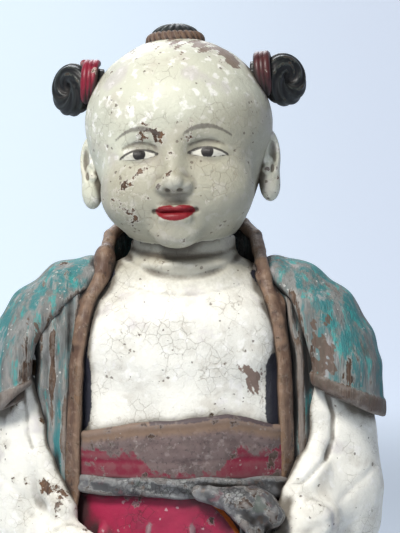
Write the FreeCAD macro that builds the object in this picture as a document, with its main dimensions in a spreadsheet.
import FreeCAD, Part
import os
import sys

import Sketcher
from FreeCAD import Vector

# A standing carved boy attendant: a joined-block wooden figure on a plinth, painted over gesso.
# Row frame: +Z up, the figure faces -Y, its left hand is on +X, and the origin is the middle of
# the plinth's underside. Millimetres and degrees.

# Driving dimensions: alias, value, what it is.
SIZES = [
    ("plinth_width", 152, "plinth, side to side"),
    ("plinth_depth", 118, "plinth, front to back"),
    ("plinth_foot_height", 7, "lower tier of the plinth"),
    ("plinth_neck_height", 6, "recessed middle tier"),
    ("plinth_top_height", 7, "upper tier"),
    ("plinth_neck_inset", 5, "how far the middle tier steps in"),
    ("plinth_corner", 9, "corner radius of the tiers"),
    ("shoe_length", 48, "shoe, heel to toe"),
    ("shoe_width", 25, "shoe, across the ball"),
    ("shoe_height", 17, "shoe, sole to ankle"),
    ("shoe_edge", 5, "rounding of the shoe's upper edge"),
    ("shoe_toe_out", 9, "how far each shoe turns outwards, degrees"),
    ("stance", 27, "leg centre line from the middle"),
    ("ankle_radius", 11, "leg at the shoe"),
    ("shin_radius", 14.5, "leg at the skirt's hem"),
    ("shin_height", 23, "leg that shows between shoe and skirt"),
    ("leg_tenon_radius", 8, "tenon on top of each leg"),
    ("leg_tenon_length", 20, "tenon on top of each leg"),
    ("foot_dowel_radius", 3.5, "dowel through each shoe"),
    ("foot_dowel_sink", 12, "dowel's length in the plinth, and in the leg"),
    ("hem_half_width", 62, "skirt at its hem"),
    ("hem_half_depth", 44, "skirt at its hem"),
    ("knee_half_width", 61, "skirt at the coat's hem"),
    ("knee_half_depth", 43, "skirt at the coat's hem"),
    ("hip_half_width", 60, "body at the hips"),
    ("hip_half_depth", 40, "body at the hips"),
    ("waist_half_width", 58, "body at the waist"),
    ("waist_half_depth", 37, "body at the waist"),
    ("belly_half_width", 61, "body at the belly"),
    ("belly_half_depth", 42, "body at the belly"),
    ("chest_half_width", 63, "body at the chest"),
    ("chest_half_depth", 39, "body at the chest"),
    ("shoulder_half_width", 54, "body at the shoulders"),
    ("shoulder_half_depth", 32, "body at the shoulders"),
    ("nape_half_width", 34, "body at the foot of the neck"),
    ("nape_half_depth", 28, "body at the foot of the neck"),
    ("neck_radius", 26, "neck"),
    ("hem_to_knee", 32, "skirt's hem up to the coat's hem"),
    ("knee_to_hip", 58, "coat's hem up to the hips"),
    ("hip_to_waist", 36, "hips up to the waist joint"),
    ("waist_to_belly", 26, "waist joint up to the belly"),
    ("belly_to_chest", 38, "belly up to the chest"),
    ("chest_to_shoulder", 30, "chest up to the shoulders"),
    ("shoulder_to_nape", 14, "shoulders up to the foot of the neck"),
    ("neck_length", 18, "foot of the neck up to the head's seat"),
    ("neck_spring", 7, "height over which the neck draws in to its radius"),
    ("waist_dowel_radius", 5, "dowels that join trunk and skirt"),
    ("waist_dowel_length", 40, "dowels that join trunk and skirt"),
    ("waist_dowel_spread", 26, "each waist dowel from the middle"),
    ("joint_clearance", 0.25, "radial room of a dowel or tenon in its hole"),
    ("glue_line", 0.2, "room between glued shells"),
    ("coat_wall", 4.5, "thickness of the coat"),
    ("coat_hip_flare", 4, "how far the coat stands off the hips"),
    ("coat_hem_flare", 15, "how far the coat stands off the knees"),
    ("opening_hem", 64, "half width of the coat's opening at its hem"),
    ("opening_hip", 57, "half width of the opening at the hips"),
    ("opening_waist", 51, "half width of the opening at the waist"),
    ("opening_chest", 49, "half width of the opening at the chest"),
    ("opening_shoulder", 45, "half width of the opening at the shoulders"),
    ("opening_nape", 34, "half width of the opening at the neck"),
    ("edging_width", 6, "raised band along the coat's front edges"),
    ("edging_relief", 2, "how far that band stands proud"),
    ("collar_height", 26, "stand of the collar behind the neck"),
    ("collar_top_radius", 38.5, "collar's outside at its top"),
    ("collar_wall", 3.8, "thickness of the collar"),
    ("collar_front", 12, "where the collar's ends stop, ahead of the neck's centre"),
    ("sash_rise", 9, "waist joint up to the sash's lower edge"),
    ("sash_height", 27, "sash, lower edge to upper edge"),
    ("sash_relief", 4, "how far the sash stands off the belly"),
    ("belt_drop", 4, "waist joint down to the belt's lower edge"),
    ("belt_height", 12, "belt roll"),
    ("belt_relief", 5, "how far the belt stands off the waist"),
    ("knot_offset", 31, "sash knot from the middle"),
    ("knot_forward", 44, "sash knot ahead of the middle"),
    ("knot_drop", 15, "knot's centre below the waist joint"),
    ("knot_half_width", 19, "sash knot"),
    ("knot_half_depth", 13, "sash knot"),
    ("knot_half_height", 21, "sash knot"),
    ("knot_side_lean", 41, "slant of the knot's flat where the forearm passes, degrees"),
    ("knot_arm_room", 3, "that flat's distance from the wrist"),
    ("arm_offset", 5, "arm's centre line outside the coat at the chest"),
    ("arm_splay", 4, "how much further out the elbow stands"),
    ("arm_setback", 3, "arm's centre line behind the middle"),
    ("arm_top_radius", 16, "arm at its top"),
    ("upper_arm_radius", 21, "upper arm"),
    ("lower_arm_radius", 24, "arm just above the elbow"),
    ("elbow_radius", 22.5, "elbow"),
    ("arm_top_drop", 20, "shoulders down to the arm's top"),
    ("arm_top_taper", 20, "length over which the arm's top narrows"),
    ("arm_length", 88, "arm's top down to the elbow's centre"),
    ("elbow_swell", 16, "elbow's centre up to the widest of the arm"),
    ("forearm_reach", 50, "elbow to wrist, forwards"),
    ("forearm_inset", 30, "elbow to wrist, inwards"),
    ("forearm_drop", 20, "elbow to wrist, downwards"),
    ("wrist_radius", 13.5, "wrist"),
    ("arm_dowel_radius", 4, "dowel that joins arm and trunk"),
    ("arm_dowel_length", 42, "dowel that joins arm and trunk"),
    ("arm_dowel_bite", 10, "dowel's length beyond the arm's centre line, outwards"),
    ("arm_dowel_drop", 14, "arm's top down to the dowel"),
    ("arm_dowel_setback", 9, "dowel behind the middle"),
    ("hand_half_width", 12.5, "fist"),
    ("hand_half_depth", 14, "fist"),
    ("hand_half_height", 15, "fist"),
    ("hand_advance", 9, "fist's centre ahead of the wrist joint"),
    ("hand_tenon_radius", 4.5, "tenon of the hand in the wrist"),
    ("hand_tenon_length", 14, "tenon of the hand in the wrist"),
    ("sleeve_wall", 3.5, "thickness of the sleeve at its hem"),
    ("sleeve_room", 3, "room between arm and sleeve, side to side"),
    ("sleeve_room_deep", 9, "room between arm and sleeve, front to back"),
    ("sleeve_drop", 27, "chest level down to the sleeve's outer hem"),
    ("sleeve_hem_slant", 21, "rise of the sleeve's hem towards the chest, degrees"),
    ("sleeve_mid_in", 14, "how far the sleeve leans in at shoulder level"),
    ("sleeve_mid_less", 6, "how much narrower the sleeve is there"),
    ("sleeve_top_in", 29, "how far the sleeve leans in at its top"),
    ("sleeve_top_half_width", 11, "sleeve at its top"),
    ("sleeve_top_half_depth", 17, "sleeve at its top"),
    ("head_turn", -4, "head's turn about the neck, degrees"),
    ("head_lift", 3, "how far the head leans back, degrees"),
    ("head_tilt", -2.5, "how far the head leans to its right, degrees"),
    ("jaw_half_width", 35, "jaw"),
    ("jaw_half_depth", 38, "jaw"),
    ("jaw_half_height", 33, "jaw"),
    ("jaw_forward", 7, "jaw's centre ahead of the neck"),
    ("jaw_rise", 22, "jaw's centre above the head's seat"),
    ("skull_half_width", 47, "skull"),
    ("skull_half_depth", 49, "skull"),
    ("skull_half_height", 45, "skull"),
    ("skull_back", 2, "skull's centre behind the neck"),
    ("skull_rise", 55, "skull's centre above the head's seat"),
    ("nose_half_width", 6.5, "nose"),
    ("nose_half_height", 9, "nose"),
    ("nose_rise", 27, "nose above the head's seat"),
    ("nose_forward", 44, "nose ahead of the neck"),
    ("neck_room", 1.5, "room between the neck and the head's recess"),
    ("neck_tenon_radius", 10, "tenon under the head"),
    ("neck_tenon_length", 26, "tenon under the head"),
    ("ear_half_height", 18, "ear with its long lobe"),
    ("ear_half_depth", 10, "ear"),
    ("ear_half_width", 6, "ear"),
    ("ear_offset", 43.5, "ear's centre from the head's middle"),
    ("ear_back", 2, "ear's centre behind the neck"),
    ("ear_rise", 34, "ear's centre above the head's seat"),
    ("bun_ring_radius", 8, "coiled hair knot, middle of its roll"),
    ("bun_roll_radius", 5.2, "coiled hair knot, its roll"),
    ("bun_turn", 45, "how far each knot's face turns outwards, degrees"),
    ("bun_offset", 53.5, "hair knot's centre from the head's middle"),
    ("bun_rise", 77, "hair knot's centre above the head's seat"),
    ("tie_ring_radius", 11, "cord round the root of each knot"),
    ("tie_cord_radius", 2.8, "cord round the root of each knot"),
    ("tie_offset", 43.5, "cord from the head's middle"),
    ("tie_rise", 80, "cord's centre above the head's seat"),
    ("tuft_half_width", 12.5, "tuft on the crown"),
    ("tuft_half_depth", 11, "tuft on the crown"),
    ("tuft_half_height", 8, "tuft on the crown"),
    ("tuft_rise", 99, "tuft's centre above the head's seat"),
    ("band_ring_radius", 11.5, "band round the tuft"),
    ("band_roll_radius", 3.4, "band round the tuft"),
    ("band_rise", 98.5, "band above the head's seat"),
    ("hair_dowel_radius", 2.5, "dowels of the knots and the tuft"),
    ("hair_dowel_length", 24, "dowels of the knots and the tuft"),
    ("hair_dowel_bite", 2, "how far each dowel runs past the middle of the roll, or of the tuft"),
    ("cavity_width", 36, "deposit cavity"),
    ("cavity_height", 56, "deposit cavity"),
    ("cavity_floor_rise", 40, "waist joint up to the cavity's floor"),
    ("cavity_front", 2, "cavity's front wall, behind the middle"),
    ("cover_lap", 5, "how far the cover laps the cavity all round"),
    ("cover_seat", 11, "depth of the cover's rebate under the trunk's back"),
    ("cover_room", 0.4, "room round the cover"),
    ("roll_radius", 6.5, "rolled paper in the cavity"),
    ("roll_length", 44, "rolled paper in the cavity"),
    ("roll_offset", 9, "rolled paper from the middle"),
    ("roll_tie_radius", 0.9, "string round the roll"),
]

doc = FreeCAD.newDocument("carved_figure")
sheet = doc.addObject("Spreadsheet::Sheet", "Sizes")
for row, (alias, value, meaning) in enumerate(SIZES, start=1):
    sheet.set(f"A{row}", meaning)
    sheet.set(f"B{row}", str(value))
    sheet.setAlias(f"B{row}", alias)
doc.recompute()

# Levels, from the ground up, as expressions of the driving dimensions.
PLINTH_TOP = "(Sizes.plinth_foot_height + Sizes.plinth_neck_height + Sizes.plinth_top_height)"
ANKLE = f"({PLINTH_TOP} + Sizes.shoe_height)"
HEM = f"({ANKLE} + Sizes.shin_height)"
KNEE = f"({HEM} + Sizes.hem_to_knee)"
HIP = f"({KNEE} + Sizes.knee_to_hip)"
WAIST = f"({HIP} + Sizes.hip_to_waist)"
BELLY = f"({WAIST} + Sizes.waist_to_belly)"
CHEST = f"({BELLY} + Sizes.belly_to_chest)"
SHOULDER = f"({CHEST} + Sizes.chest_to_shoulder)"
NAPE = f"({SHOULDER} + Sizes.shoulder_to_nape)"
NECK_TOP = f"({NAPE} + Sizes.neck_length)"
ARM_TOP = f"({SHOULDER} - Sizes.arm_top_drop)"
ELBOW = f"({ARM_TOP} - Sizes.arm_length)"
SLEEVE_HEM = f"({CHEST} - Sizes.sleeve_drop)"
CAVITY_FLOOR = f"({WAIST} + Sizes.cavity_floor_rise)"

# The arm's centre line stands outside the coat, and the cover's rebate lies inside the trunk's back.
ARM_X = "(Sizes.chest_half_width + Sizes.glue_line + Sizes.coat_wall + Sizes.arm_offset)"
REBATE_Y = "(Sizes.chest_half_depth - Sizes.cover_seat)"

FAR = 400  # reach of a cutting block past everything that it cuts
OVERRUN = 1  # how far a cutting tool runs past the face that it opens


def value(expression):
    """The number that an expression of the sheet stands for."""
    return float(sheet.evalExpression(expression))


def primitive(kind, name, **sizes):
    """A Part primitive whose properties follow expressions."""
    item = doc.addObject(kind, name)
    for prop, expression in sizes.items():
        item.setExpression(prop, str(expression))
    return item


def place(item, x=0, y=0, z=0, turn=(0, 0, 0), frame=None):
    """Puts item at a point, turned by yaw, pitch and roll, in the row's frame or in another."""
    yaw, pitch, roll = turn
    spot = f"placement(vector({x}; {y}; {z}); rotation({yaw}; {pitch}; {roll}))"
    item.setExpression("Placement", f"{frame}.Placement * {spot}" if frame else spot)
    return item


def frame_at(name, x, y, z, turn):
    """A frame of its own, for what leans or turns together."""
    place(doc.addObject("Part::Vertex", name), x, y, z, turn)
    return name


def box(name, x0, y0, z0, length, width, height, **where):
    block = primitive("Part::Box", name, Length=length, Width=width, Height=height)
    return place(block, x0, y0, z0, **where)


def cylinder(name, radius, height, x=0, y=0, z=0, **where):
    rod = primitive("Part::Cylinder", name, Radius=radius, Height=height)
    return place(rod, x, y, z, **where)


def ellipsoid(name, half_x, half_y, half_z, x=0, y=0, z=0, **where):
    egg = primitive(
        "Part::Ellipsoid", name, Radius1=half_z, Radius2=half_x, Radius3=half_y
    )
    egg.Angle1, egg.Angle2, egg.Angle3 = -90, 90, 360
    return place(egg, x, y, z, **where)


def torus(name, ring, roll, x=0, y=0, z=0, **where):
    hoop = primitive("Part::Torus", name, Radius1=ring, Radius2=roll)
    return place(hoop, x, y, z, **where)


def loft(name, sections, deeper=False):
    """A solid through level ellipses, each (z, half width, half depth, x, y), straight between them.

    An ellipse's long radius lies across the figure, or front to back if they are deeper than wide.
    """
    rings = []
    for number, (z, half_x, half_y, x, y) in enumerate(sections):
        long, short = (half_y, half_x) if deeper else (half_x, half_y)
        ring = primitive(
            "Part::Ellipse", f"{name}_ring{number}", MajorRadius=long, MinorRadius=short
        )
        rings.append(place(ring, x, y, z, turn=(90 if deeper else 0, 0, 0)))
    spans = [
        loft_through(f"{name}_span{number}", pair)
        for number, pair in enumerate(zip(rings, rings[1:]))
    ]
    return fuse(name, *spans) if len(spans) > 1 else spans[0]


def loft_through(name, rings):
    solid = doc.addObject("Part::Loft", name)
    solid.Sections = list(rings)
    solid.Solid = True
    solid.Ruled = True
    return solid


def fuse(name, *items):
    whole = doc.addObject("Part::MultiFuse", name)
    whole.Shapes = list(items)
    whole.Refine = False
    return whole


def cut(name, base, *tools):
    """base with each tool taken away in turn."""
    for number, tool in enumerate(tools):
        last = number == len(tools) - 1
        piece = doc.addObject("Part::Cut", name if last else f"{name}_step{number}")
        piece.Base = base
        piece.Tool = tool
        piece.Refine = False
        base = piece
    return base


def common(name, first, second):
    piece = doc.addObject("Part::Common", name)
    piece.Base = first
    piece.Tool = second
    piece.Refine = False
    return piece


def group(name, *items):
    bundle = doc.addObject("Part::Compound", name)
    bundle.Links = list(items)
    return bundle


def plane(body, role="XY_Plane"):
    return next(f for f in body.Origin.OriginFeatures if f.Role == role)


def sketch_on(body, name, role="XY_Plane", height=None):
    """An empty sketch on one of the body's own origin planes, lifted by an expression."""
    drawing = body.newObject("Sketcher::SketchObject", name)
    drawing.AttachmentSupport = (plane(body, role), [""])
    drawing.MapMode = "FlatFace"
    if height is not None:
        drawing.setExpression("AttachmentOffset.Base.z", height)
    return drawing


def outline(drawing, corners):
    """A closed outline of straight lines whose corners follow pairs of expressions."""
    points = [Vector(value(x), value(y), 0) for x, y in corners]
    count = len(points)
    for number, start in enumerate(points):
        drawing.addGeometry(Part.LineSegment(start, points[(number + 1) % count]), False)
    for number in range(count):
        following = (number + 1) % count
        drawing.addConstraint(Sketcher.Constraint("Coincident", number, 2, following, 1))
    for number, (x, y) in enumerate(corners):
        for kind, expression in (("DistanceX", x), ("DistanceY", y)):
            size = value(expression)
            limit = Sketcher.Constraint(kind, -1, 1, number, 1, size)
            index = drawing.addConstraint(limit)
            drawing.setExpression(f"Constraints[{index}]", expression)
    return drawing


def circle(drawing, radius, x, y):
    """A full circle whose radius and centre follow expressions."""
    index = drawing.addGeometry(
        Part.Circle(Vector(value(x), value(y), 0), Vector(0, 0, 1), value(radius)), False
    )
    for kind, expression in (("DistanceX", x), ("DistanceY", y)):
        limit = drawing.addConstraint(
            Sketcher.Constraint(kind, -1, 1, index, 3, value(expression))
        )
        drawing.setExpression(f"Constraints[{limit}]", expression)
    limit = drawing.addConstraint(Sketcher.Constraint("Radius", index, value(radius)))
    drawing.setExpression(f"Constraints[{limit}]", radius)


def pad(body, name, drawing, length, reverse=False):
    feature = body.newObject("PartDesign::Pad", name)
    feature.Profile = drawing
    feature.setExpression("Length", length)
    feature.Reversed = reverse
    return feature


def pocket(body, name, drawing, depth, reverse=False):
    feature = body.newObject("PartDesign::Pocket", name)
    feature.Profile = drawing
    feature.setExpression("Length", depth)
    feature.Reversed = reverse
    return feature


def upright_edges(shape):
    return [
        f"Edge{number}"
        for number, edge in enumerate(shape.Edges, start=1)
        if abs(edge.tangentAt(edge.FirstParameter).z) > 0.99
    ]


def upper_edges(shape):
    """Edges round the top face."""
    return [
        f"Edge{number}"
        for number, edge in enumerate(shape.Edges, start=1)
        if abs(edge.BoundBox.ZMin - shape.BoundBox.ZMax) < 1e-4
    ]


def fillet(body, name, choose, radius):
    """Rounds the edges that choose picks out of the body's shape so far."""
    base = body.Tip
    edges = choose(base.Shape)
    feature = body.newObject("PartDesign::Fillet", name)
    feature.Base = (base, edges)
    feature.setExpression("Radius", radius)
    body.Tip = feature


def rectangle(half_x, half_y):
    return [
        (f"-({half_x})", f"-({half_y})"),
        (half_x, f"-({half_y})"),
        (half_x, half_y),
        (f"-({half_x})", half_y),
    ]


PIECES = {}


def keep(name, item):
    """Names item as a finished sub-part."""
    item.Label = name
    PIECES[name] = item
    return item


# ---- body form: one list of levels that trunk, skirt, coat, sash and belt all follow ----

LEVELS = {
    "hem": HEM,
    "knee": KNEE,
    "hip": HIP,
    "waist": WAIST,
    "belly": BELLY,
    "chest": CHEST,
    "shoulder": SHOULDER,
    "nape": NAPE,
}


def body_section(level, more="0"):
    """The body's ellipse at a level, larger all round by an expression."""
    half_x = f"(Sizes.{level}_half_width + {more})"
    half_y = f"(Sizes.{level}_half_depth + {more})"
    return (LEVELS[level], half_x, half_y, 0, 0)


def coat_solid(name, more):
    """The coat's form from its hem to the foot of the neck, its surface moved out by an expression."""
    sections = [
        body_section("knee", f"Sizes.coat_hem_flare + {more}"),
        body_section("hip", f"Sizes.coat_hip_flare + {more}"),
    ]
    for level in ("waist", "belly", "chest", "shoulder", "nape"):
        sections.append(body_section(level, more))
    return loft(name, sections)


INSIDE = "Sizes.glue_line"
OUTSIDE = "Sizes.glue_line + Sizes.coat_wall"
PROUD = "Sizes.glue_line + Sizes.coat_wall + Sizes.edging_relief"

coat_inside = coat_solid("coat_inside", INSIDE)
coat_outside = coat_solid("coat_outside", OUTSIDE)
coat_proud = coat_solid("coat_proud", PROUD)


def opening_tool(name, more):
    """A block ahead of the body with the outline of the coat's front opening, wider by an expression."""
    levels = [
        ("hem", f"({KNEE} - {OVERRUN})"),
        ("hip", HIP),
        ("waist", WAIST),
        ("chest", CHEST),
        ("shoulder", SHOULDER),
        ("nape", f"({NAPE} + {OVERRUN})"),
    ]
    right = [(f"(Sizes.opening_{part} + {more})", z) for part, z in levels]
    left = [(f"-{x}", z) for x, z in reversed(right)]
    block = doc.addObject("PartDesign::Body", name)
    drawing = outline(sketch_on(block, f"{name}_outline", "XZ_Plane"), right + left)
    pad(block, f"{name}_pad", drawing, f"{FAR}")
    return block


opening = opening_tool("opening", "0")
opening_with_edging = opening_tool("opening_with_edging", "Sizes.edging_width")

# ---- plinth ----

plinth = doc.addObject("PartDesign::Body", "plinth_body")
tiers = [
    ("foot", "0", "Sizes.plinth_foot_height", "0"),
    ("neck", "Sizes.plinth_foot_height", "Sizes.plinth_neck_height", "Sizes.plinth_neck_inset"),
    (
        "top",
        "Sizes.plinth_foot_height + Sizes.plinth_neck_height",
        "Sizes.plinth_top_height",
        "0",
    ),
]
for tier, z, height, inset in tiers:
    drawing = sketch_on(plinth, f"plinth_{tier}_outline", height=z)
    outline(
        drawing,
        rectangle(f"(Sizes.plinth_width / 2 - {inset})", f"(Sizes.plinth_depth / 2 - {inset})"),
    )
    pad(plinth, f"plinth_{tier}", drawing, height)
doc.recompute()
fillet(
    plinth, "plinth_corners", upright_edges, "min(Sizes.plinth_corner; Sizes.plinth_depth / 4)"
)
holes = sketch_on(plinth, "plinth_hole_circles", height=PLINTH_TOP)
FOOT_HOLE = "(Sizes.foot_dowel_radius + Sizes.joint_clearance)"
for sign in (1, -1):
    circle(holes, FOOT_HOLE, f"{sign} * Sizes.stance", "0")
plinth_holes = pocket(
    plinth, "plinth_holes", holes, f"Sizes.foot_dowel_sink + {OVERRUN}"
)
plinth.Tip = plinth_holes
keep("plinth", plinth)

# ---- legs and shoes ----

foot_dowels = []
leg_tenons = []
for side, sign in (("left", 1), ("right", -1)):
    x = f"{sign} * Sizes.stance"
    foot_dowels.append(
        cylinder(
            f"{side}_foot_dowel",
            "Sizes.foot_dowel_radius",
            "2 * Sizes.foot_dowel_sink + Sizes.shoe_height",
            x,
            0,
            f"{PLINTH_TOP} - Sizes.foot_dowel_sink",
        )
    )
    dowel_room = cylinder(
        f"{side}_foot_dowel_room",
        FOOT_HOLE,
        f"2 * Sizes.foot_dowel_sink + Sizes.shoe_height + {OVERRUN}",
        x,
        0,
        f"{PLINTH_TOP} - Sizes.foot_dowel_sink",
    )

    shoe = doc.addObject("PartDesign::Body", f"{side}_shoe_body")
    sole = sketch_on(shoe, f"{side}_sole")
    heel = "Sizes.ankle_radius"
    toe = "(Sizes.shoe_length - Sizes.ankle_radius)"
    half = "(Sizes.shoe_width / 2)"
    outline(
        sole,
        [
            (f"-{half} * 0.8", heel),
            (f"-{half}", f"-{toe} * 0.4"),
            (f"-{half} * 0.7", f"-{toe} * 0.88"),
            ("0", f"-{toe}"),
            (f"{half} * 0.7", f"-{toe} * 0.88"),
            (half, f"-{toe} * 0.4"),
            (f"{half} * 0.8", heel),
        ],
    )
    pad(shoe, f"{side}_shoe_pad", sole, "Sizes.shoe_height")
    doc.recompute()
    fillet(
        shoe, f"{side}_shoe_rounding", upper_edges, "min(Sizes.shoe_edge; Sizes.shoe_width / 6)"
    )
    place(shoe, x, 0, PLINTH_TOP, turn=(f"{sign} * Sizes.shoe_toe_out", 0, 0))
    keep(f"{side}_shoe", cut(f"{side}_shoe_bored", shoe, dowel_room))

    shin = primitive(
        "Part::Cone",
        f"{side}_shin",
        Radius1="Sizes.ankle_radius",
        Radius2="Sizes.shin_radius",
        Height="Sizes.shin_height",
    )
    place(shin, x, 0, ANKLE)
    tenon = cylinder(
        f"{side}_leg_tenon",
        "Sizes.leg_tenon_radius",
        f"Sizes.leg_tenon_length + {OVERRUN}",
        x,
        0,
        f"{HEM} - {OVERRUN}",
    )
    keep(
        f"{side}_leg",
        cut(f"{side}_leg_bored", fuse(f"{side}_leg_form", shin, tenon), dowel_room),
    )
    leg_tenons.append(
        cylinder(
            f"{side}_leg_socket",
            "Sizes.leg_tenon_radius + Sizes.joint_clearance",
            f"Sizes.leg_tenon_length + 2 * {OVERRUN}",
            x,
            0,
            f"{HEM} - {OVERRUN}",
        )
    )
keep("foot_dowels", group("foot_dowel_pair", *foot_dowels))

# ---- waist dowels, skirt and trunk ----

waist_dowels = []
waist_rooms = []
for side, sign in (("left", 1), ("right", -1)):
    spot = (f"{sign} * Sizes.waist_dowel_spread", 0)
    low = f"{WAIST} - Sizes.waist_dowel_length / 2"
    waist_dowels.append(
        cylinder(
            f"{side}_waist_dowel", "Sizes.waist_dowel_radius", "Sizes.waist_dowel_length", *spot, low
        )
    )
    waist_rooms.append(
        cylinder(
            f"{side}_waist_dowel_room",
            "Sizes.waist_dowel_radius + Sizes.joint_clearance",
            f"Sizes.waist_dowel_length + 2 * {OVERRUN}",
            *spot,
            f"{low} - {OVERRUN}",
        )
    )
keep("waist_dowels", group("waist_dowel_pair", *waist_dowels))

skirt_form = loft("skirt_form", [body_section(k) for k in ("hem", "knee", "hip", "waist")])
keep("skirt", cut("skirt_bored", skirt_form, *leg_tenons, *waist_rooms))

NECK_SPARE = 4  # the neck is carved this much long, then cut off square to the head
neck_heights = (f"{NAPE} + Sizes.neck_spring", f"{NECK_TOP} + {NECK_SPARE}")
trunk_form = loft(
    "trunk_form",
    [body_section(k) for k in ("waist", "belly", "chest", "shoulder", "nape")]
    + [(z, "Sizes.neck_radius", "Sizes.neck_radius", 0, 0) for z in neck_heights],
)

HEAD = frame_at(
    "head_frame", 0, 0, NECK_TOP, turn=("Sizes.head_turn", "Sizes.head_tilt", "-Sizes.head_lift")
)
neck_trim = box("neck_trim", -FAR / 2, -FAR / 2, 0, FAR, FAR, FAR, frame=HEAD)
neck_socket = cylinder(
    "neck_socket",
    "Sizes.neck_tenon_radius + Sizes.joint_clearance",
    f"Sizes.neck_tenon_length + 2 * {OVERRUN}",
    0,
    0,
    f"-Sizes.neck_tenon_length - {OVERRUN}",
    frame=HEAD,
)
cavity = box(
    "cavity",
    "-Sizes.cavity_width / 2",
    "Sizes.cavity_front",
    CAVITY_FLOOR,
    "Sizes.cavity_width",
    f"{FAR}",
    "Sizes.cavity_height",
)


def cover_block(name, room):
    """The back cover's straight-sided block, larger all round by an expression."""
    side = f"(Sizes.cavity_width / 2 + Sizes.cover_lap + {room})"
    return box(
        name,
        f"-{side}",
        f"{REBATE_Y} + Sizes.cover_room - {room}",
        f"{CAVITY_FLOOR} - Sizes.cover_lap - {room}",
        f"2 * {side}",
        f"{FAR}",
        f"Sizes.cavity_height + 2 * Sizes.cover_lap + 2 * {room}",
    )


rebate = cover_block("rebate", "Sizes.cover_room")

arm_dowels = []
arm_rooms = []
for side, sign in (("left", 1), ("right", -1)):
    outer = f"{sign} * ({ARM_X} + Sizes.arm_dowel_bite)"
    spot = ("Sizes.arm_dowel_setback", f"{ARM_TOP} - Sizes.arm_dowel_drop")
    arm_dowels.append(
        cylinder(
            f"{side}_arm_dowel",
            "Sizes.arm_dowel_radius",
            "Sizes.arm_dowel_length",
            outer,
            *spot,
            turn=(0, -90 * sign, 0),
        )
    )
    arm_rooms.append(
        cylinder(
            f"{side}_arm_dowel_room",
            "Sizes.arm_dowel_radius + Sizes.joint_clearance",
            f"Sizes.arm_dowel_length + 2 * {OVERRUN}",
            f"{sign} * ({ARM_X} + Sizes.arm_dowel_bite + {OVERRUN})",
            *spot,
            turn=(0, -90 * sign, 0),
        )
    )
keep("arm_dowels", group("arm_dowel_pair", *arm_dowels))

keep(
    "trunk",
    cut(
        "trunk_cut",
        trunk_form,
        neck_trim,
        neck_socket,
        cavity,
        rebate,
        *waist_rooms,
        *arm_rooms,
    ),
)

# ---- deposit: a rolled paper standing in the cavity, and the cover that closes it ----

ROLL_X = "(Sizes.roll_offset - Sizes.cavity_width / 2 + Sizes.cover_room)"
ROLL_Y = "(Sizes.cavity_front + Sizes.roll_radius + 2 * Sizes.roll_tie_radius + Sizes.cover_room)"
paper = cylinder(
    "paper",
    "Sizes.roll_radius",
    "Sizes.roll_length",
    ROLL_X,
    ROLL_Y,
    CAVITY_FLOOR,
)
string = torus(
    "string",
    "Sizes.roll_radius + Sizes.roll_tie_radius",
    "Sizes.roll_tie_radius",
    ROLL_X,
    ROLL_Y,
    f"{CAVITY_FLOOR} + Sizes.roll_length / 2",
)
keep("deposit_roll", paper)
keep("roll_tie", cut("roll_tie_cut", string, paper))

cover_form = cover_block("cover_form", "0")
keep("back_cover", common("back_cover_trim", coat_outside, cover_form))

# ---- coat ----

coat_shell = cut("coat_shell", coat_outside, coat_inside)
behind = box("behind", -FAR, 0, 0, 2 * FAR, FAR, 2 * FAR)
ahead = box("ahead", -FAR, -FAR, 0, 2 * FAR, FAR, 2 * FAR)
coat_rear = common("coat_rear", coat_shell, behind)
keep("coat_back", cut("coat_back_cut", coat_rear, rebate, *arm_rooms))
coat_fore = cut(
    "coat_fore", common("coat_fore_half", coat_shell, ahead), opening_with_edging
)
edging_shell = cut("edging_shell", coat_proud, coat_inside)
edging_fore = cut(
    "edging_fore",
    common("edging_band", edging_shell, opening_with_edging),
    opening,
)
for side, sign in (("left", 1), ("right", -1)):
    start = 0 if sign > 0 else -FAR
    half_space = box(f"{side}_half", start, -FAR, 0, FAR, 2 * FAR, 2 * FAR)
    keep(f"{side}_coat_front", common(f"{side}_coat_front_half", coat_fore, half_space))
    keep(f"{side}_edging", common(f"{side}_edging_half", edging_fore, half_space))

COLLAR_TOP = f"({NAPE} + Sizes.collar_height)"


def collar_cone(name, inner):
    low = f"{NAPE} - {inner} * {OVERRUN}"
    less = f"{inner} * Sizes.collar_wall"
    half_x = f"Sizes.nape_half_width + {PROUD} - {less}"
    half_y = f"Sizes.nape_half_depth + {PROUD} - {less}"
    top = f"Sizes.collar_top_radius - {less}"
    return loft(
        name,
        [(low, half_x, half_y, 0, 0), (f"{COLLAR_TOP} + {inner} * {OVERRUN}", top, top, 0, 0)],
    )


collar_ring = cut("collar_ring", collar_cone("collar_out", 0), collar_cone("collar_in", 1))
collar_rear = box(
    "collar_rear", -FAR, "-Sizes.collar_front", 0, 2 * FAR, FAR, 2 * FAR
)
keep("collar", common("collar_trim", collar_ring, collar_rear))

# ---- sash and belt, carved as bands between the coat's edges ----


def waistband(name, more, low, height):
    """A band of the body's form, moved out by an expression, that shows in the coat's opening."""
    form = loft(
        f"{name}_form",
        [body_section(k, more) for k in ("hip", "waist", "belly", "chest")],
    )
    slab = box(f"{name}_slab", -FAR, -FAR, low, 2 * FAR, FAR, height)
    band = common(f"{name}_band", common(f"{name}_level", form, slab), opening)
    return cut(f"{name}_cut", band, trunk_form, skirt_form)


sash = keep(
    "sash",
    waistband("sash", "Sizes.sash_relief", f"{WAIST} + Sizes.sash_rise", "Sizes.sash_height"),
)
belt = keep(
    "belt",
    waistband(
        "belt",
        "Sizes.belt_relief",
        f"{WAIST} - Sizes.belt_drop",
        "min(Sizes.belt_height; Sizes.sash_rise + Sizes.belt_drop)",
    ),
)

# ---- arms, hands and sleeves ----

ARM_Y = "Sizes.arm_setback"
WRIST_Y = "(Sizes.arm_setback - Sizes.forearm_reach)"
WRIST_Z = f"({ELBOW} - Sizes.forearm_drop)"


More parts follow.
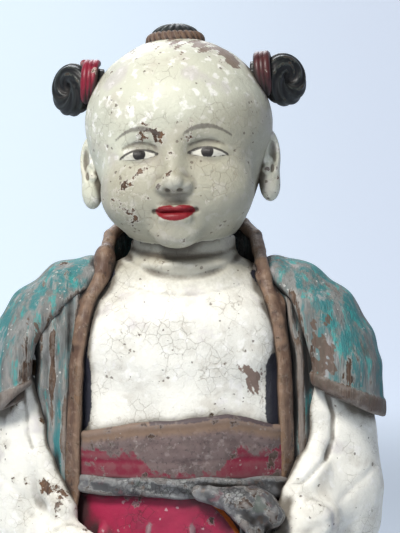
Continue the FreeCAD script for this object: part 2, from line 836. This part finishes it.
def wrist_x(sign):
    return f"{sign} * ({ARM_X} + Sizes.arm_splay - Sizes.forearm_inset)"


def forearm_solid(name, sign):
    """The forearm from elbow to wrist."""
    elbow_x = f"{sign} * ({ARM_X} + Sizes.arm_splay)"
    stations = [
        ("Sizes.elbow_radius - 1", elbow_x, ARM_Y, ELBOW),
        ("Sizes.wrist_radius", wrist_x(sign), WRIST_Y, WRIST_Z),
    ]
    rings = []
    for number, (size, ring_x, ring_y, ring_z) in enumerate(stations):
        ring = primitive("Part::Circle", f"{name}_ring{number}", Radius=size)
        rings.append(place(ring, ring_x, ring_y, ring_z, turn=(0, 0, 90)))
    return loft_through(name, rings)


def arm_solid(side, sign):
    """Upper arm, elbow and forearm, cut to lie on the coat and its edging."""
    x = f"{sign} * {ARM_X}"
    elbow_x = f"{sign} * ({ARM_X} + Sizes.arm_splay)"
    levels = [
        (ELBOW, "Sizes.elbow_radius", elbow_x),
        (f"{ELBOW} + Sizes.elbow_swell", "Sizes.lower_arm_radius", elbow_x),
        (f"{ARM_TOP} - Sizes.arm_top_taper", "Sizes.upper_arm_radius", x),
        (ARM_TOP, "Sizes.arm_top_radius", x),
    ]
    upper = loft(f"{side}_upper_arm", [(z, r, r, at, ARM_Y) for z, r, at in levels])
    radius = "Sizes.elbow_radius"
    elbow = ellipsoid(f"{side}_elbow", radius, radius, radius, elbow_x, ARM_Y, ELBOW)
    forearm = forearm_solid(f"{side}_forearm", sign)
    whole = fuse(f"{side}_arm_fused", upper, elbow, forearm)
    return cut(f"{side}_arm_form", whole, coat_outside, PIECES[f"{side}_edging"])


def hand_peg(name, sign, room, more):
    """The hand's tenon, or the room for it, running back into the wrist."""
    return cylinder(
        name,
        f"Sizes.hand_tenon_radius + {room}",
        f"Sizes.hand_tenon_length + {OVERRUN} + {more}",
        wrist_x(sign),
        f"{WRIST_Y} - {OVERRUN}",
        WRIST_Z,
        turn=(0, 0, -90),
    )


def sleeve_solid(side, sign):
    """A hollow sleeve over the shoulder, its hem rising towards the chest."""
    x = f"{sign} * {ARM_X}"
    half_x = "(Sizes.upper_arm_radius + Sizes.sleeve_room)"
    half_y = "(Sizes.upper_arm_radius + Sizes.sleeve_room_deep)"
    wall = "Sizes.sleeve_wall"
    less = f"{wall} - Sizes.sleeve_mid_less"
    low = f"{SLEEVE_HEM} - {OVERRUN}"
    outer = loft(
        f"{side}_sleeve_out",
        [
            (low, f"{half_x} + {wall}", f"{half_y} + {wall}", x, ARM_Y),
            (CHEST, f"{half_x} + {wall}", f"{half_y} + {wall}", x, ARM_Y),
            (
                SHOULDER,
                f"{half_x} + {less}",
                f"{half_y} + {less}",
                f"{sign} * ({ARM_X} - Sizes.sleeve_mid_in)",
                ARM_Y,
            ),
            (
                NAPE,
                "Sizes.sleeve_top_half_width",
                "Sizes.sleeve_top_half_depth",
                f"{sign} * ({ARM_X} - Sizes.sleeve_top_in)",
                ARM_Y,
            ),
        ],
        deeper=True,
    )
    narrow = "Sizes.arm_top_radius + 4 * Sizes.glue_line"
    inner = loft(
        f"{side}_sleeve_in",
        [
            (f"{low} - {OVERRUN}", half_x, half_y, x, ARM_Y),
            (f"{ARM_TOP} - Sizes.arm_top_taper", half_x, half_y, x, ARM_Y),
            (f"{ARM_TOP} + Sizes.glue_line", narrow, narrow, x, ARM_Y),
        ],
        deeper=True,
    )
    hem_frame = frame_at(
        f"{side}_hem_frame",
        f"{sign} * ({ARM_X} + {half_x} + {wall})",
        0,
        SLEEVE_HEM,
        turn=(0, f"{sign} * Sizes.sleeve_hem_slant", 0),
    )
    below = box(
        f"{side}_hem_trim", -FAR, -FAR, -FAR, 2 * FAR, 2 * FAR, FAR, frame=hem_frame
    )
    return cut(f"{side}_sleeve_cut", outer, coat_outside, opening_with_edging, inner, below)


for side, sign in (("left", 1), ("right", -1)):
    arm_form = arm_solid(side, sign)
    fist = ellipsoid(
        f"{side}_fist",
        "Sizes.hand_half_width",
        "Sizes.hand_half_depth",
        "Sizes.hand_half_height",
        wrist_x(sign),
        f"{WRIST_Y} - Sizes.hand_advance",
        WRIST_Z,
    )
    seated = cut(f"{side}_fist_seated", fist, arm_form)
    tenon = hand_peg(f"{side}_hand_tenon", sign, "0", "0")
    socket = hand_peg(f"{side}_hand_socket", sign, "Sizes.joint_clearance", OVERRUN)
    keep(f"{side}_hand", fuse(f"{side}_hand_whole", seated, tenon))
    keep(f"{side}_arm", cut(f"{side}_arm_cut", arm_form, socket, *arm_rooms))
    keep(f"{side}_sleeve", sleeve_solid(side, sign))

# ---- the sash's knot, cut to lie on everything round it ----

knot = ellipsoid(
    "knot",
    "Sizes.knot_half_width",
    "Sizes.knot_half_depth",
    "Sizes.knot_half_height",
    "Sizes.knot_offset",
    "-Sizes.knot_forward",
    f"{WAIST} - Sizes.knot_drop",
)
knot_frame = frame_at(
    "knot_frame", wrist_x(1), WRIST_Y, WRIST_Z, turn=(0, "-Sizes.knot_side_lean", 0)
)
arm_side = box(
    "knot_arm_side",
    -FAR,
    -FAR,
    f"Sizes.wrist_radius + Sizes.knot_arm_room - {FAR}",
    2 * FAR,
    2 * FAR,
    FAR,
    frame=knot_frame,
)
keep("sash_knot", cut("sash_knot_cut", knot, skirt_form, sash, belt, arm_side))

# ---- head: everything from here on stands in the head's own frame ----

jaw = ellipsoid(
    "jaw",
    "Sizes.jaw_half_width",
    "Sizes.jaw_half_depth",
    "Sizes.jaw_half_height",
    0,
    "-Sizes.jaw_forward",
    "Sizes.jaw_rise",
    frame=HEAD,
)
skull = ellipsoid(
    "skull",
    "Sizes.skull_half_width",
    "Sizes.skull_half_depth",
    "Sizes.skull_half_height",
    0,
    "Sizes.skull_back",
    "Sizes.skull_rise",
    frame=HEAD,
)
nose = ellipsoid(
    "nose",
    "Sizes.nose_half_width",
    "Sizes.nose_half_width",
    "Sizes.nose_half_height",
    0,
    "-Sizes.nose_forward",
    "Sizes.nose_rise",
    frame=HEAD,
)
head_form = fuse("head_form", jaw, skull, nose)
neck_recess = cylinder(
    "neck_recess",
    "Sizes.neck_radius + Sizes.neck_room",
    "Sizes.jaw_half_height",
    0,
    0,
    "-Sizes.jaw_half_height",
    frame=HEAD,
)
neck_tenon = cylinder(
    "neck_tenon",
    "Sizes.neck_tenon_radius",
    f"Sizes.neck_tenon_length + {OVERRUN}",
    0,
    0,
    "-Sizes.neck_tenon_length",
    frame=HEAD,
)


def hair_dowel(name, room):
    """Three dowels, or the rooms for them: one for each side knot and an upright one for the tuft."""
    radius = f"Sizes.hair_dowel_radius + {room}"
    length = f"Sizes.hair_dowel_length + 2 * {room}"
    root = "(Sizes.bun_offset - Sizes.bun_ring_radius * cos(Sizes.bun_turn * 1deg))"
    rods = []
    for side, sign in (("left", 1), ("right", -1)):
        outer = f"{sign} * ({root} + Sizes.hair_dowel_bite + {room})"
        rods.append(
            cylinder(
                f"{side}_{name}",
                radius,
                length,
                outer,
                0,
                "Sizes.bun_rise",
                turn=(0, -90 * sign, 0),
                frame=HEAD,
            )
        )
    top = f"Sizes.tuft_rise + Sizes.hair_dowel_bite + {room}"
    rods.append(cylinder(f"tuft_{name}", radius, length, 0, 0, f"{top} - ({length})", frame=HEAD))
    return rods


keep("hair_dowels", group("hair_dowel_set", *hair_dowel("hair_dowel", "0")))
hair_rooms = hair_dowel("hair_dowel_room", "Sizes.joint_clearance")
headed = fuse("head_with_tenon", cut("head_recessed", head_form, neck_recess), neck_tenon)
keep("head", cut("head_bored", headed, *hair_rooms))

for side, sign in (("left", 1), ("right", -1)):
    ear = ellipsoid(
        f"{side}_ear_form",
        "Sizes.ear_half_width",
        "Sizes.ear_half_depth",
        "Sizes.ear_half_height",
        f"{sign} * Sizes.ear_offset",
        "Sizes.ear_back",
        "Sizes.ear_rise",
        frame=HEAD,
    )
    keep(f"{side}_ear", cut(f"{side}_ear_cut", ear, head_form))

    tie_form = torus(
        f"{side}_tie_form",
        "Sizes.tie_ring_radius",
        "Sizes.tie_cord_radius",
        f"{sign} * Sizes.tie_offset",
        0,
        "Sizes.tie_rise",
        turn=(0, 90, 0),
        frame=HEAD,
    )
    tie = keep(f"{side}_bun_tie", cut(f"{side}_tie_cut", tie_form, head_form, *hair_rooms))
    bun_form = torus(
        f"{side}_bun_form",
        "Sizes.bun_ring_radius",
        "Sizes.bun_roll_radius",
        f"{sign} * Sizes.bun_offset",
        "Sizes.bun_ring_radius * sin(Sizes.bun_turn * 1deg)",
        "Sizes.bun_rise",
        turn=(f"{sign} * Sizes.bun_turn", 0, 90),
        frame=HEAD,
    )
    keep(f"{side}_bun", cut(f"{side}_bun_cut", bun_form, head_form, tie_form, *hair_rooms))

band_form = torus(
    "band_form",
    "Sizes.band_ring_radius",
    "Sizes.band_roll_radius",
    0,
    0,
    "Sizes.band_rise",
    frame=HEAD,
)
keep("tuft_band", cut("tuft_band_cut", band_form, head_form))
tuft_form = ellipsoid(
    "tuft_form",
    "Sizes.tuft_half_width",
    "Sizes.tuft_half_depth",
    "Sizes.tuft_half_height",
    0,
    0,
    "Sizes.tuft_rise",
    frame=HEAD,
)
keep("crown_tuft", cut("crown_tuft_cut", tuft_form, head_form, band_form, *hair_rooms))

# ---- check and write ----

doc.recompute()
faults = [item.Name for item in doc.Objects if {"Invalid", "Error"} & set(item.State)]
for name, item in PIECES.items():
    if item.Shape.isNull() or not item.Shape.isValid() or not item.Shape.Solids:
        faults.append(f"{name} has no valid shape")
if faults:
    print("failed:", ", ".join(faults))
    sys.exit(1)

os.makedirs("parts", exist_ok=True)
for name, item in PIECES.items():
    item.Shape.exportStep(os.path.join("parts", f"{name}.step"))
    print(f"{name}: {len(item.Shape.Solids)} solid(s), {item.Shape.Volume:.0f} mm3")
